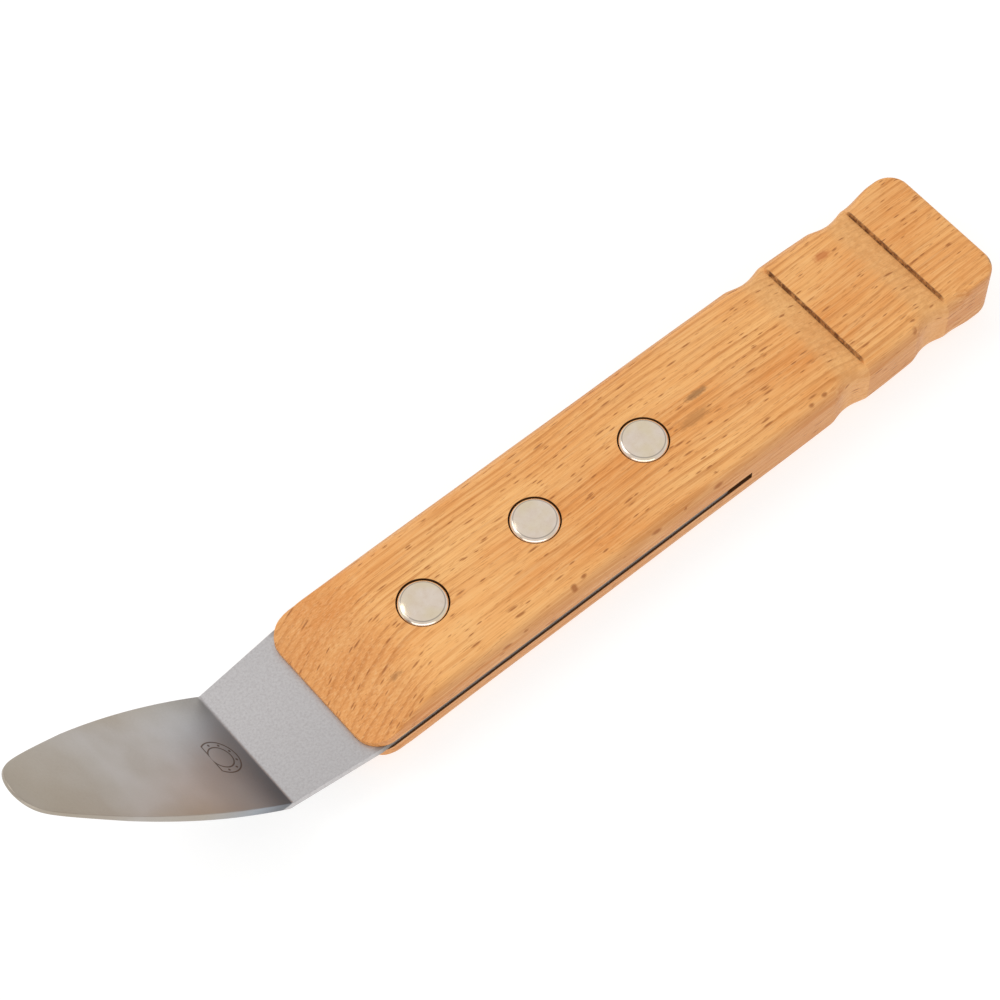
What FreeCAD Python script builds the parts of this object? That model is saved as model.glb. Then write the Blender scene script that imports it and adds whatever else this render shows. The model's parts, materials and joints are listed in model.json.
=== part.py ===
import FreeCAD
import Part
import Sketcher
import math
import os

# A hoof pick: one bent steel plate held in a sawn beech handle by three two-part rivets, whose
# heads stand just proud of the top face and just inside the underside.
# Frame: +X along the handle towards the butt, +Y across it, +Z up. The pick lies on the flat
# underside of its handle, with the origin at the bottom centre of its bounding box.

doc = FreeCAD.newDocument("hoof_pick")
dim = doc.addObject("Spreadsheet::Sheet", "dim")

# Driving dimensions in millimetres and degrees: alias, value, meaning.
dimensions = [
    ("handle_length", 147.0, "nose edge to butt"),
    ("handle_width", 30.0, "across the handle"),
    ("handle_thickness", 12.8, "underside to top face"),
    ("long_edge_radius", 3.6, "rounding of the four long edges"),
    ("nose_corner_radius", 4.8, "plan corners at the nose"),
    ("butt_corner_radius", 4.4, "plan corners at the butt"),
    ("butt_edge_radius", 1.1, "softened edge round the butt face"),
    ("nose_lip", 0.85, "wood left above and below the kerf at the nose"),
    ("nose_ramp_angle", 18.5, "slope of the tapered nose"),
    ("nose_blend_radius", 25.0, "blend from the nose taper to the flat faces"),
    ("kerf_gap", 0.05, "between the tang and each wall of its saw kerf"),
    ("kerf_overrun", 4.0, "kerf beyond the end of the tang"),
    ("butt_block_length", 13.0, "butt to the nearer thumb step"),
    ("step_pitch", 20.0, "between the two thumb steps"),
    ("scoop_length", 6.3, "sloping floor in front of each step"),
    ("step_height", 0.8, "height of each step"),
    ("side_scoop_radius", 11.0, "cutter radius of the side scoops"),
    ("side_scoop_depth", 0.7, "depth of the side scoops"),
    ("side_scoop_lead", 4.1, "middle of a side scoop ahead of its step"),
    ("nose_to_rivet", 23.2, "nose edge to the front rivet"),
    ("rivet_pitch", 25.0, "between neighbouring rivets"),
    ("steel_thickness", 1.5, "plate of the blade, neck and tang"),
    ("tang_inset", 0.7, "edge of the tang below the side of the handle"),
    ("tang_margin", 8.5, "rear rivet to the end of the tang"),
    ("tang_corner_radius", 2.0, "end corners of the tang"),
    ("neck_length", 15.3, "crease to the nose edge"),
    ("shoulder_inset", 2.2, "start of the neck taper inside the nose"),
    ("crease_width", 25.9, "plate width at the crease"),
    ("crease_radius", 0.5, "inner radius of the bend"),
    ("bend_angle", 45.0, "blade above the plane of the handle"),
    ("blade_length", 58.8, "crease to tip along the blade"),
    ("blade_side_radius", 205.0, "convex side of the blade"),
    ("blade_tip_radius", 6.2, "round tip of the blade"),
    ("head_diameter", 8.9, "rivet heads"),
    ("head_rim_radius", 0.6, "rounded rim of the rivet heads"),
    ("counterbore_depth", 1.7, "seat of a rivet head below the face of the wood"),
    ("tube_head_recess", 0.1, "lower heads below the face of the wood"),
    ("post_head_rise", 0.6, "upper heads above the face of the wood"),
    ("head_gap", 0.3, "radial gap between head and counterbore"),
    ("barrel_diameter", 5.0, "tube half of the rivet"),
    ("barrel_gap", 0.1, "radial gap between barrel and wood"),
    ("tang_hole_gap", 0.15, "radial gap between barrel and tang"),
    ("barrel_end_gap", 0.6, "end of the barrel to the post head"),
    ("post_diameter", 3.0, "post half of the rivet"),
    ("post_gap", 0.01, "radial gap between post and barrel"),
    ("post_end_gap", 0.7, "end of the post to the floor of the bore"),
    ("post_chamfer", 0.4, "lead-in at the end of the post"),
    ("bore_floor", 0.9, "metal left under the bore of the barrel"),
    ("trim_margin", 6.0, "reach of the trimming cuts beyond the blank"),
]
for row, (alias, value, meaning) in enumerate(dimensions, start=1):
    dim.set(f"A{row}", alias)
    dim.set(f"B{row}", str(value))
    dim.set(f"C{row}", meaning)
    dim.setAlias(f"B{row}", alias)
doc.recompute()

# Places along X are counted from the middle rivet, and places along Z from the underside.
nose = "-(dim.nose_to_rivet + dim.rivet_pitch)"
butt = f"(dim.handle_length + {nose})"
crease = f"({nose} - dim.neck_length)"
steps = [f"({butt} - dim.butt_block_length)", f"({butt} - dim.butt_block_length - dim.step_pitch)"]
middle = "dim.handle_thickness / 2"
kerf = "(dim.steel_thickness / 2 + dim.kerf_gap)"
tang_end = "(dim.rivet_pitch + dim.tang_margin)"
tang_edge = "(dim.handle_width / 2 - dim.tang_inset)"
plate_top = f"({middle} + dim.steel_thickness / 2)"
setback = "dim.crease_radius * tan(dim.bend_angle / 2)"
tip_reach = "(dim.blade_length * cos(dim.bend_angle) + dim.steel_thickness * sin(dim.bend_angle))"
origin_shift = f"-({butt} + {crease} - {tip_reach}) / 2"
rivets = {"front": "-dim.rivet_pitch", "middle": "0", "rear": "dim.rivet_pitch"}


def size(expression):
    """The present value of an expression on the sheet, as a plain number."""
    found = dim.evalExpression(expression)
    return float(getattr(found, "Value", found))


def new_body(label):
    """An empty body whose Label names its file, shifted into the frame of the whole pick."""
    body = doc.addObject("PartDesign::Body", label)
    body.Label = label
    body.setExpression("Placement.Base.x", origin_shift)
    return body


def new_sketch(body, name, plane, offset="0"):
    """A sketch on one of the body's own origin planes, moved along the plane's normal."""
    sketch = body.newObject("Sketcher::SketchObject", name)
    found = [item for item in body.Origin.OriginFeatures if item.Role == plane]
    sketch.AttachmentSupport = [(found[0], "")]
    sketch.MapMode = "FlatFace"
    sketch.setExpression("AttachmentOffset.Base.z", offset)
    return sketch


def pin_point(sketch, geometry, point, x, y):
    """Dimension one point of a sketch from its origin, with both distances on the sheet."""
    for kind, expression in (("DistanceX", x), ("DistanceY", y)):
        constraint = Sketcher.Constraint(kind, -1, 1, geometry, point, size(expression))
        sketch.setExpression(f"Constraints[{sketch.addConstraint(constraint)}]", expression)


def set_radius(sketch, geometry, expression):
    """Dimension the radius of an arc or circle."""
    index = sketch.addConstraint(Sketcher.Constraint("Radius", geometry, size(expression)))
    sketch.setExpression(f"Constraints[{index}]", expression)


def corner_cut(before, corner, after, radius):
    """Where a round corner starts, the heart of its arc, where it ends, and its hand."""
    back = (before - corner).normalize()
    ahead = (after - corner).normalize()
    half = back.getAngle(ahead) / 2
    run = radius / math.tan(half)
    heart = corner + (back + ahead).normalize() * (radius / math.sin(half))
    turns_left = ahead.cross(back).z > 0
    return corner + back * run, heart, corner + ahead * run, turns_left


def add_arc(sketch, heart, start, end):
    """An arc that runs counter-clockwise from start to end."""
    circle = Part.Circle(heart, FreeCAD.Vector(0, 0, 1), heart.distanceToPoint(start))
    angles = [math.atan2(point.y - heart.y, point.x - heart.x) for point in (start, end)]
    return sketch.addGeometry(Part.ArcOfCircle(circle, *angles))


def add_outline(sketch, corners):
    """A closed outline through corners of (x, y) or, where a corner is round, (x, y, radius)."""
    points = [FreeCAD.Vector(size(corner[0]), size(corner[1]), 0) for corner in corners]
    count = len(corners)
    cuts = {}
    for index, corner in enumerate(corners):
        if len(corner) == 3:
            neighbours = (points[index - 1], points[index], points[(index + 1) % count])
            cuts[index] = corner_cut(*neighbours, size(corner[2]))
    sides = []
    for index in range(count):
        following = (index + 1) % count
        start = cuts[index][2] if index in cuts else points[index]
        end = cuts[following][0] if following in cuts else points[following]
        sides.append(sketch.addGeometry(Part.LineSegment(start, end)))
    for index, corner in enumerate(corners):
        arriving, leaving = sides[index - 1], sides[index]
        if index not in cuts:
            sketch.addConstraint(Sketcher.Constraint("Coincident", arriving, 2, leaving, 1))
            pin_point(sketch, leaving, 1, corner[0], corner[1])
            continue
        begin, heart, finish, turns_left = cuts[index]
        first, last = (1, 2) if turns_left else (2, 1)
        arc = add_arc(sketch, heart, *((begin, finish) if turns_left else (finish, begin)))
        sketch.addConstraint(Sketcher.Constraint("Tangent", arriving, 2, arc, first))
        sketch.addConstraint(Sketcher.Constraint("Tangent", arc, last, leaving, 1))
        set_radius(sketch, arc, corner[2])
        vertex = sketch.addGeometry(Part.Point(points[index]), True)
        sketch.addConstraint(Sketcher.Constraint("PointOnObject", vertex, 1, arriving))
        sketch.addConstraint(Sketcher.Constraint("PointOnObject", vertex, 1, leaving))
        pin_point(sketch, vertex, 1, corner[0], corner[1])


def add_circle(sketch, x, y, radius):
    """A full circle."""
    place = FreeCAD.Vector(size(x), size(y), 0)
    circle = sketch.addGeometry(Part.Circle(place, FreeCAD.Vector(0, 0, 1), size(radius)))
    pin_point(sketch, circle, 3, x, y)
    set_radius(sketch, circle, radius)


def box_corners(x_low, x_high, y_low, y_high, *radius):
    """The four corners of a rectangle, all round if a radius is given."""
    return [
        (x_low, y_low, *radius),
        (x_high, y_low, *radius),
        (x_high, y_high, *radius),
        (x_low, y_high, *radius),
    ]


def pad(body, sketch, length, both_ways=False, flipped=False):
    """Add material along the sketch's normal."""
    feature = body.newObject("PartDesign::Pad", f"{sketch.Name}_pad")
    feature.Profile = sketch
    feature.SideType = "Symmetric" if both_ways else "One side"
    feature.Reversed = flipped
    feature.setExpression("Length", length)
    doc.recompute()
    return feature


def pocket(body, sketch, depth=None, flipped=False):
    """Cut along the sketch's normal, right through both ways where no depth is given."""
    solid_before = body.Shape.Volume
    feature = body.newObject("PartDesign::Pocket", f"{sketch.Name}_pocket")
    feature.Profile = sketch
    feature.Reversed = flipped
    if depth is None:
        feature.SideType = "Symmetric"
        feature.Type = "ThroughAll"
    else:
        feature.setExpression("Length", depth)
    doc.recompute()
    if body.Shape.Volume > solid_before - 1e-3:
        raise RuntimeError(f"{feature.Name} cut nothing")
    return feature


def revolve(body, sketch, axis, angle, flipped=False):
    """Turn a section about an axis."""
    feature = body.newObject("PartDesign::Revolution", f"{sketch.Name}_revolution")
    feature.Profile = sketch
    feature.ReferenceAxis = axis
    feature.Reversed = flipped
    feature.setExpression("Angle", angle)
    doc.recompute()
    return feature


def side_profile():
    """The handle seen from the side: tapered nose, thumb steps and the kerf for the tang."""
    outline = []
    ramp = f"({middle} - {kerf} - dim.nose_lip)"
    for face, sign in (("dim.handle_thickness", "+"), ("0", "-")):
        inward = "-" if sign == "+" else "+"
        lip = f"{middle} {sign} ({kerf} + dim.nose_lip)"
        half = [(nose, f"{middle} {sign} {kerf}"), (nose, lip)]
        half.append((f"{nose} + {ramp} / tan(dim.nose_ramp_angle)", face, "dim.nose_blend_radius"))
        for step in reversed(steps):
            half.append((f"{step} - dim.scoop_length", face))
            half.append((step, f"{face} {inward} dim.step_height"))
            half.append((step, face))
        half.append((butt, face))
        outline += half if sign == "+" else half[::-1]
    kerf_end = f"{tang_end} + dim.kerf_overrun"
    outline.append((kerf_end, f"{middle} - {kerf}"))
    outline.append((kerf_end, f"{middle} + {kerf}"))
    return outline


def soften_butt(body):
    """Small fillets along the top and bottom edges of the block behind the rear thumb step."""
    levels = (0, size("dim.handle_thickness"))
    step = size(steps[0])
    sharp = body.Tip
    chosen = []
    for number, edge in enumerate(sharp.Shape.Edges, start=1):
        middle_point = edge.CenterOfMass
        if middle_point.x > step + 0.01 and min(abs(middle_point.z - level) for level in levels) < 0.01:
            chosen.append(f"Edge{number}")
    rounding = body.newObject("PartDesign::Fillet", "butt_fillet")
    rounding.Base = (sharp, chosen)
    rounding.setExpression("Radius", "dim.butt_edge_radius")
    doc.recompute()


def make_handle():
    """Beech handle, sawn from the nose so that the tang slides in."""
    body = new_body("handle")
    profile = new_sketch(body, "handle_profile", "XZ_Plane")
    add_outline(profile, side_profile())
    pad(body, profile, "dim.handle_width", both_ways=True)

    # Everything outside the rounded plan outline is trimmed off.
    plan = new_sketch(body, "handle_plan", "XY_Plane")
    edge = "dim.handle_width / 2"
    outer = f"({edge} + dim.trim_margin)"
    add_outline(plan, [
        (nose, f"-{edge}", "dim.nose_corner_radius"),
        (butt, f"-{edge}", "dim.butt_corner_radius"),
        (butt, edge, "dim.butt_corner_radius"),
        (nose, edge, "dim.nose_corner_radius"),
    ])
    ahead, behind = f"{nose} - dim.trim_margin", f"{butt} + dim.trim_margin"
    add_outline(plan, box_corners(ahead, behind, f"-{outer}", outer))
    pocket(body, plan)

    # The four long edges are rounded off as one section, from the nose to the rear thumb step.
    section = new_sketch(body, "handle_section", "YZ_Plane", steps[0])
    above = "dim.handle_thickness + dim.trim_margin"
    add_outline(section, box_corners(f"-{edge}", edge, "0", "dim.handle_thickness", "dim.long_edge_radius"))
    add_outline(section, box_corners(f"-{outer}", outer, "-dim.trim_margin", above))
    pocket(body, section, "dim.handle_length")
    soften_butt(body)

    # Round scoops in both sides lie just ahead of the thumb steps.
    reach = "(dim.handle_width / 2 - dim.side_scoop_depth + dim.side_scoop_radius)"
    for name, step in zip(("rear", "front"), steps):
        scoops = new_sketch(body, f"{name}_side_scoops", "XY_Plane")
        for sign in ("", "-"):
            add_circle(scoops, f"{step} - dim.side_scoop_lead", sign + reach, "dim.side_scoop_radius")
        pocket(body, scoops)

    bores = new_sketch(body, "handle_bores", "XY_Plane")
    for place in rivets.values():
        add_circle(bores, place, "0", "dim.barrel_diameter / 2 + dim.barrel_gap")
    pocket(body, bores)
    for name, level, flipped in (("top", "dim.handle_thickness", False), ("bottom", "0", True)):
        heads = new_sketch(body, f"{name}_counterbores", "XY_Plane", level)
        for place in rivets.values():
            add_circle(heads, place, "0", "dim.head_diameter / 2 + dim.head_gap")
        pocket(body, heads, "dim.counterbore_depth", flipped)
    return body


def add_blade_outline(sketch):
    """Tongue outline in the blade's own plane: two convex sides that run into a round tip."""
    start = size(setback)
    half_width = size("dim.crease_width / 2")
    side = size("dim.blade_side_radius")
    tip = size("dim.blade_tip_radius")
    tip_heart = FreeCAD.Vector(-(size("dim.blade_length") - tip), 0, 0)
    root = FreeCAD.Vector(-start, half_width, 0)

    # The heart of the side arc lies one side radius from the root, and one side radius less a
    # tip radius from the heart of the tip, so that the two arcs meet as tangents.
    span = tip_heart - root
    gap = span.Length
    along = (side**2 - (side - tip) ** 2 + gap**2) / (2 * gap)
    away = math.sqrt(side**2 - along**2)
    unit = span.normalize()
    side_heart = root + unit * along + FreeCAD.Vector(-unit.y, unit.x, 0) * away
    meeting = side_heart + (tip_heart - side_heart).normalize() * side

    def mirrored(point):
        return FreeCAD.Vector(point.x, -point.y, 0)

    line = sketch.addGeometry(Part.LineSegment(mirrored(root), root))
    upper = add_arc(sketch, side_heart, root, meeting)
    round_tip = add_arc(sketch, tip_heart, meeting, mirrored(meeting))
    lower = add_arc(sketch, mirrored(side_heart), mirrored(meeting), mirrored(root))
    sketch.addConstraint(Sketcher.Constraint("Coincident", line, 2, upper, 1))
    sketch.addConstraint(Sketcher.Constraint("Tangent", upper, 2, round_tip, 1))
    sketch.addConstraint(Sketcher.Constraint("Tangent", round_tip, 2, lower, 1))
    sketch.addConstraint(Sketcher.Constraint("Coincident", lower, 2, line, 1))
    set_radius(sketch, upper, "dim.blade_side_radius")
    set_radius(sketch, lower, "dim.blade_side_radius")
    set_radius(sketch, round_tip, "dim.blade_tip_radius")
    pin_point(sketch, line, 1, f"-{setback}", "-dim.crease_width / 2")
    pin_point(sketch, line, 2, f"-{setback}", "dim.crease_width / 2")
    pin_point(sketch, round_tip, 3, "-(dim.blade_length - dim.blade_tip_radius)", "0")


def make_blade():
    """Steel plate: tang in the kerf, flat neck, sharp bend, and the tongue-shaped blade."""
    body = new_body("blade")
    root = f"({crease} + {setback})"
    shoulder = f"({nose} + dim.shoulder_inset)"
    tang = new_sketch(body, "tang_plan", "XY_Plane", f"{plate_top} - dim.steel_thickness")
    add_outline(tang, [
        (root, "-dim.crease_width / 2"),
        (shoulder, f"-{tang_edge}"),
        (tang_end, f"-{tang_edge}", "dim.tang_corner_radius"),
        (tang_end, tang_edge, "dim.tang_corner_radius"),
        (shoulder, tang_edge),
        (root, "dim.crease_width / 2"),
    ])
    pad(body, tang, "dim.steel_thickness")
    holes = new_sketch(body, "tang_holes", "XY_Plane")
    for place in rivets.values():
        add_circle(holes, place, "0", "dim.barrel_diameter / 2 + dim.tang_hole_gap")
    pocket(body, holes)

    # The bend is the plate's own section turned about an axis above the crease.
    bend = new_sketch(body, "bend_section", "YZ_Plane", root)
    half = "dim.crease_width / 2"
    add_outline(bend, box_corners(f"-{half}", half, f"{plate_top} - dim.steel_thickness", plate_top))
    height = f"{plate_top} + dim.crease_radius"
    ends = [FreeCAD.Vector(sign * size(half), size(height), 0) for sign in (-1, 1)]
    hinge = sketch_axis(bend, ends, [(f"-{half}", height), (half, height)])
    revolve(body, bend, hinge, "dim.bend_angle")

    tongue = new_sketch(body, "blade_plan", "XY_Plane")
    tongue.AttachmentOffset = FreeCAD.Placement(
        FreeCAD.Vector(), FreeCAD.Rotation(FreeCAD.Vector(0, 1, 0), size("dim.bend_angle"))
    )
    tongue.setExpression("AttachmentOffset.Base.x", crease)
    tongue.setExpression("AttachmentOffset.Base.z", plate_top)
    tongue.setExpression("AttachmentOffset.Rotation.Angle", "dim.bend_angle")
    add_blade_outline(tongue)
    pad(body, tongue, "dim.steel_thickness", flipped=True)
    return body


def sketch_axis(sketch, ends, places):
    """A construction line that a revolution turns about."""
    line = sketch.addGeometry(Part.LineSegment(*ends), True)
    for point, place in enumerate(places, start=1):
        pin_point(sketch, line, point, *place)
    return (sketch, ["Axis0"])


def make_rivet_part(label, place, corners):
    """One half of a rivet, turned about its own centre line."""
    body = new_body(label)
    body.setExpression("Placement.Base.x", f"{origin_shift} + {place}")
    section = new_sketch(body, f"{label}_section", "XZ_Plane")
    add_outline(section, corners)
    vertical = (section, ["V_Axis"])
    revolve(body, section, vertical, "360")
    return body


def make_rivets():
    """Tube halves come up from the underside, and post halves are pressed into them."""
    head = "dim.head_diameter / 2"
    barrel = "dim.barrel_diameter / 2"
    post = "dim.post_diameter / 2"
    bore = f"({post} + dim.post_gap)"
    low_seat = "dim.counterbore_depth"
    high_seat = "(dim.handle_thickness - dim.counterbore_depth)"
    high_face = "(dim.handle_thickness + dim.post_head_rise)"
    barrel_top = f"({high_seat} - dim.barrel_end_gap)"
    floor = "(dim.tube_head_recess + dim.bore_floor)"
    post_end = f"({floor} + dim.post_end_gap)"
    tube_half = [
        ("0", "dim.tube_head_recess"),
        (head, "dim.tube_head_recess", "dim.head_rim_radius"),
        (head, low_seat),
        (barrel, low_seat),
        (barrel, barrel_top),
        (bore, barrel_top),
        (bore, floor),
        ("0", floor),
    ]
    post_half = [
        ("0", high_face),
        ("0", post_end),
        (f"{post} - dim.post_chamfer", post_end),
        (post, f"{post_end} + dim.post_chamfer"),
        (post, high_seat),
        (head, high_seat),
        (head, high_face, "dim.head_rim_radius"),
    ]
    made = []
    for name, place in rivets.items():
        made.append(make_rivet_part(f"rivet_tube_{name}", place, tube_half))
        made.append(make_rivet_part(f"rivet_post_{name}", place, post_half))
    return made


bodies = [make_handle(), make_blade(), *make_rivets()]
doc.recompute()

for item in doc.Objects:
    if "Invalid" in item.State or "Error" in item.State:
        raise RuntimeError(f"{item.Name} could not be computed")
os.makedirs("parts", exist_ok=True)
for body in bodies:
    shape = body.Shape
    if shape.isNull() or not shape.isValid() or len(shape.Solids) != 1:
        raise RuntimeError(f"{body.Label} is not one valid solid")
    shape.exportStep(f"parts/{body.Label}.step")
    print(body.Label, "volume", round(shape.Volume, 1), "mm3")
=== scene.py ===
import bpy
import bmesh
import json
import math
from mathutils import Matrix, Vector, noise

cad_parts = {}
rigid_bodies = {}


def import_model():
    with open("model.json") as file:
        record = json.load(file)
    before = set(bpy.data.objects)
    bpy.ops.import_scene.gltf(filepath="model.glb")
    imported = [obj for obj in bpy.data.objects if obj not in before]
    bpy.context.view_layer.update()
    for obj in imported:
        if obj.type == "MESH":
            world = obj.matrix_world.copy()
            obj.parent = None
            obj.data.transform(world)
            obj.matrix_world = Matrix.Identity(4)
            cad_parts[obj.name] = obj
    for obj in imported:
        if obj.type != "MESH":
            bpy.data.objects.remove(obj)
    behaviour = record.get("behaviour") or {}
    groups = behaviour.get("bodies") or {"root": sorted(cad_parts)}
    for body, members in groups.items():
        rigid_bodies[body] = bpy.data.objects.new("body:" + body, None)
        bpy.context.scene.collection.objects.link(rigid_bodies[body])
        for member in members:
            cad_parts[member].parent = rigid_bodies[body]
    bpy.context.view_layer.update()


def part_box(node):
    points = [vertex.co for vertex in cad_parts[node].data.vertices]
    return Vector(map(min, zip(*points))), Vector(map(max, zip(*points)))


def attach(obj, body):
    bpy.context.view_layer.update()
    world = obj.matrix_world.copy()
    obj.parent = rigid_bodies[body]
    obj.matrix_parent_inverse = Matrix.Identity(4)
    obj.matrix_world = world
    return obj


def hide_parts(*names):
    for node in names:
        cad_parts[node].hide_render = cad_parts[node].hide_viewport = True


# Hoof pick: bent steel plate, beech handle with thumb steps, three cutlery rivets.
# Lengths in the dictionaries are millimetres; places come from the loaded frame.

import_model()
print("frame loaded")

mm = 0.001
scene = bpy.context.scene


def boxOf(node):
    low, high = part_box(node)
    return Vector(low) / mm, Vector(high) / mm


handleLow, handleHigh = boxOf("handle")
bladeHigh = boxOf("blade")[1]
rivetX = {}
for rivetName in ("front", "middle", "rear"):
    postLow, postHigh = boxOf("rivet_post_" + rivetName)
    rivetX[rivetName] = (postLow.x + postHigh.x) / 2
tubeLow, tubeHigh = boxOf("rivet_tube_middle")
handleMiddle = (handleLow.z + handleHigh.z) / 2
halfWidth = (handleHigh.y - handleLow.y) / 2
halfThick = (handleHigh.z - handleLow.z) / 2

camera = {
    "azimuth": -40.23,
    "elevation": 59.74,
    "distance": 549.2,  # to the top of the middle rivet
    "focal": 114.8,
    "sensor": 36,
    "across": 6.0,  # the rivet stands this far right of the middle of the view
    "up": -3.4,
}


def makeCamera():
    data = bpy.data.cameras.new("camera")
    data.lens = camera["focal"]
    data.sensor_width = camera["sensor"]
    obj = bpy.data.objects.new("camera", data)
    scene.collection.objects.link(obj)
    spin = Matrix.Rotation(math.radians(camera["azimuth"]), 3, "Z")
    turn = spin @ Matrix.Rotation(math.radians(90 - camera["elevation"]), 3, "X")
    aim = Vector((rivetX["middle"], 0, handleHigh.z))
    obj.location = (aim + turn @ Vector((-camera["across"], -camera["up"], camera["distance"]))) * mm
    obj.rotation_euler = turn.to_euler()
    scene.camera = obj


def hexColour(code):
    # sRGB hex to linear
    parts = [int(code[i:i + 2], 16) / 255 for i in (1, 3, 5)]
    linear = [p / 12.92 if p <= 0.04045 else ((p + 0.055) / 1.055) ** 2.4 for p in parts]
    return (*linear, 1)


def addNode(tree, kind, inputs=(), **settings):
    # inputs: a list in socket order, or a dictionary; a node stands for its first output
    node = tree.nodes.new("ShaderNode" + kind)
    for name, value in settings.items():
        setattr(node, name, value)
    for socket, value in inputs.items() if isinstance(inputs, dict) else enumerate(inputs):
        if isinstance(value, bpy.types.Node):
            value = value.outputs[0]
        if isinstance(value, bpy.types.NodeSocket):
            tree.links.new(value, node.inputs[socket])
        else:
            node.inputs[socket].default_value = hexColour(value) if isinstance(value, str) else value
    return node


def startMaterial(name):
    material = bpy.data.materials.new(name)
    material.use_nodes = True
    tree = material.node_tree
    tree.nodes.clear()
    shader = addNode(tree, "BsdfPrincipled")
    addNode(tree, "OutputMaterial", [shader])
    place = addNode(tree, "TexCoord").outputs["Object"]
    real = addNode(tree, "Mapping", {"Vector": place, "Scale": (1 / mm, 1 / mm, 1 / mm)})
    return material, tree, shader, real


def layerColours(tree, colour, layers):
    # each layer is a mask, how much of it shows, and its colour
    for mask, amount, tint in layers:
        share = addNode(tree, "Math", [mask, amount], operation="MULTIPLY")
        colour = addNode(tree, "MixRGB", [share, colour, tint])
    return colour


studio = {
    "floorSize": 6,  # metres from the middle to an edge
    "floorColour": "#A9A9A8",
    "floorGlow": 0.7,  # the floor is a back-lit white table, so shadows stay faint
    "sky": 0.74,
    "key": {"place": (-400, 500, 700), "size": (600, 600), "watts": 2.2},
    "strip": {"place": (-491, -580, 247), "size": (1400, 160), "watts": 1.15},  # lights the rivet rims
}


def makeStudio():
    bm = bmesh.new()
    bmesh.ops.create_grid(bm, x_segments=1, y_segments=1, size=studio["floorSize"])
    mesh = bpy.data.meshes.new("floor")
    bm.to_mesh(mesh)
    bm.free()
    floor = bpy.data.objects.new("floor", mesh)
    scene.collection.objects.link(floor)
    # opal acrylic: matt and glowing, so the object stands on even white
    material, _, shader, _ = startMaterial("opalAcrylicTable")
    shader.inputs["Base Color"].default_value = hexColour(studio["floorColour"])
    shader.inputs["Roughness"].default_value = 0.9
    shader.inputs["Specular IOR Level"].default_value = 0.1
    shader.inputs["Emission Color"].default_value = (1, 1, 1, 1)
    shader.inputs["Emission Strength"].default_value = studio["floorGlow"]
    mesh.materials.append(material)
    for name in ("key", "strip"):
        lamp = studio[name]
        data = bpy.data.lights.new(name, "AREA")
        data.shape = "RECTANGLE"
        data.size, data.size_y = (side * mm for side in lamp["size"])
        data.energy = lamp["watts"]
        obj = bpy.data.objects.new(name, data)
        obj.location = Vector(lamp["place"]) * mm
        obj.rotation_euler = (-obj.location).to_track_quat("-Z", "Y").to_euler()
        scene.collection.objects.link(obj)
    world = bpy.data.worlds.new("studio")
    world.use_nodes = True
    background = world.node_tree.nodes["Background"]
    background.inputs["Color"].default_value = (1, 1, 1, 1)
    background.inputs["Strength"].default_value = studio["sky"]
    scene.world = world
    scene.view_settings.view_transform = "Standard"


makeCamera()
makeStudio()
print("camera, floor and lights made")


def finishPiece(bm, name, material, node, sharpAngle):
    bmesh.ops.recalc_face_normals(bm, faces=bm.faces[:])
    bmesh.ops.scale(bm, vec=(mm, mm, mm), verts=bm.verts[:])
    mesh = bpy.data.meshes.new(name)
    bm.to_mesh(mesh)
    bm.free()
    mesh.materials.append(material)
    mesh.shade_smooth()
    mesh.set_sharp_from_angle(angle=math.radians(sharpAngle))
    piece = bpy.data.objects.new(name, mesh)
    scene.collection.objects.link(piece)
    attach(piece, "root")
    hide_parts(node)
    return piece


def spread(start, end, step):
    # evenly spaced places from start up to, but without, end
    count = max(1, round(abs(end - start) / step))
    return [start + (end - start) * i / count for i in range(count)]


def ease(value, start, end):
    # 0 at start, 1 at end, smooth between
    share = min(max((value - start) / (end - start), 0), 1)
    return share * share * (3 - 2 * share)


handle = {
    "edgeRadius": 3.6,  # long edges
    "buttEdgeRadius": {1: 1.1, -1: 2.2},  # round the butt, above and below
    "noseCorner": 4.8,
    "buttCorner": 4.4,
    "buttInset": 0.55,  # the block behind the steps is a little narrower
    "lip": 0.85,
    "rampLength": 14.2,
    "rampBlend": 2.7,
    "stepFromButt": (33.0, 13.0),
    "stepHeight": 0.8,
    "scoopLength": 6.3,
    "sideScoopLead": 4.1,
    "sideScoopHalf": 4.2,
    "sideScoopDepth": 0.8,
    "cutEase": 0.25,  # sanded edge where a cut meets the rounding
    "handFinish": 0.05,  # how far hand sanding strays from true
    "kerfHeight": 1.6,
    "kerfEnd": 4.0,  # beyond the end of the tang
    "counterboreRadius": 4.66,
    "counterboreDepth": 1.7,
    "boreRadius": 2.6,
    "flatSegments": 36,
    "arcSegments": 8,
    "sideSegments": 8,
    "drillSegments": 72,
    "roundLength": 2.4,  # the last stretch before the butt, divided finely
    "roundSegments": 16,
    "stepFace": 0.06,  # a step's face spans twice this along the handle
    "sharpAngle": 40,
}
steps = [handleHigh.x - fromButt for fromButt in handle["stepFromButt"]]


def softLimit(value, limit, soft):
    # value cut off at limit, with the corner eased
    gap = max(soft - abs(value - limit), 0) / soft
    return min(value, limit) - gap * gap * soft / 4


def cutHeight(x):
    # half thickness left at x by the tapered nose and the thumb steps
    low = handle["kerfHeight"] / 2 + handle["lip"]
    ramp = low + (halfThick - low) * (x - handleLow.x) / handle["rampLength"]
    left = softLimit(ramp, halfThick, handle["rampBlend"])
    for step in steps:
        share = (x - step) / handle["scoopLength"] + 1
        if 0 < share < 0.998:
            left = min(left, halfThick - handle["stepHeight"] * share ** 1.25)
    return left


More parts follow.
